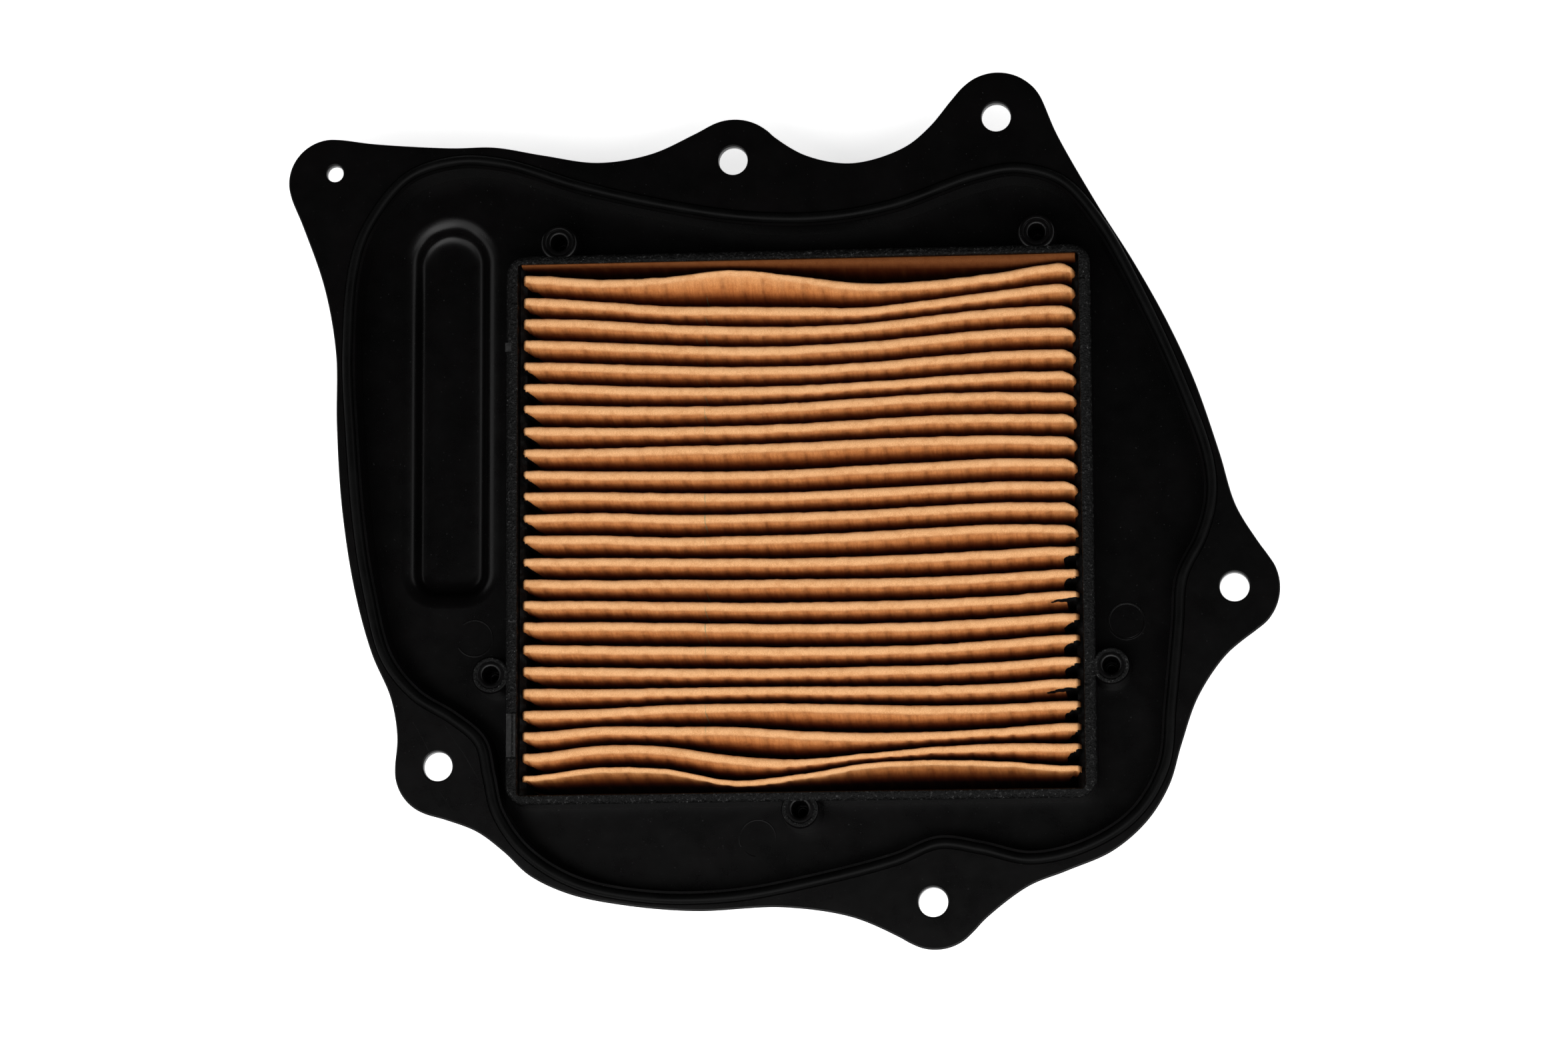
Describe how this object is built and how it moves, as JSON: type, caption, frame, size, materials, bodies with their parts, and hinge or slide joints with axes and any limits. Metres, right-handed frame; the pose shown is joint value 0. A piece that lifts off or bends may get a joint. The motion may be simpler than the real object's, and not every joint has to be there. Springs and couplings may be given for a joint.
{
  "type": "panel air filter",
  "caption": "Flat panel air filter for a motorcycle or scooter: pleated paper element in a black moulded carrier plate with screw ears and a cord seal.",
  "frame": {"origin": "under the middle of the plate's outline, at the level of the rear retainer's rim", "axes": "+Z out of the dirty-air side that shows the pleats, +X along the pleats, +Y across the pleats towards the two ears beside the locating hole's side"},
  "size_m": [0.2218, 0.1966, 0.0234],
  "materials": {
    "moulded_black_plastic": "satin moulded",
    "black_rubber": "smooth",
    "filter_paper": "fine corrugated, matt",
    "dark_adhesive": "cured glue",
    "black_foam": "cellular foam",
    "zinc_plated_steel": "zinc plated",
    "blackened_steel": "black zinc plated"
  },
  "bodies": {
    "root": {"carrier_plate": "moulded_black_plastic", "perimeter_seal": "black_rubber", "pleated_paper": "filter_paper", "end_bond_left": "dark_adhesive", "end_bond_right": "dark_adhesive", "side_bond_lower": "dark_adhesive", "side_bond_upper": "dark_adhesive", "support_screen": "zinc_plated_steel", "rear_retainer": "moulded_black_plastic", "retainer_gasket": "black_foam", "retainer_screw_1": "blackened_steel", "retainer_screw_2": "blackened_steel", "retainer_screw_3": "blackened_steel", "retainer_screw_4": "blackened_steel", "retainer_screw_5": "blackened_steel"}
  },
  "joints": []
}
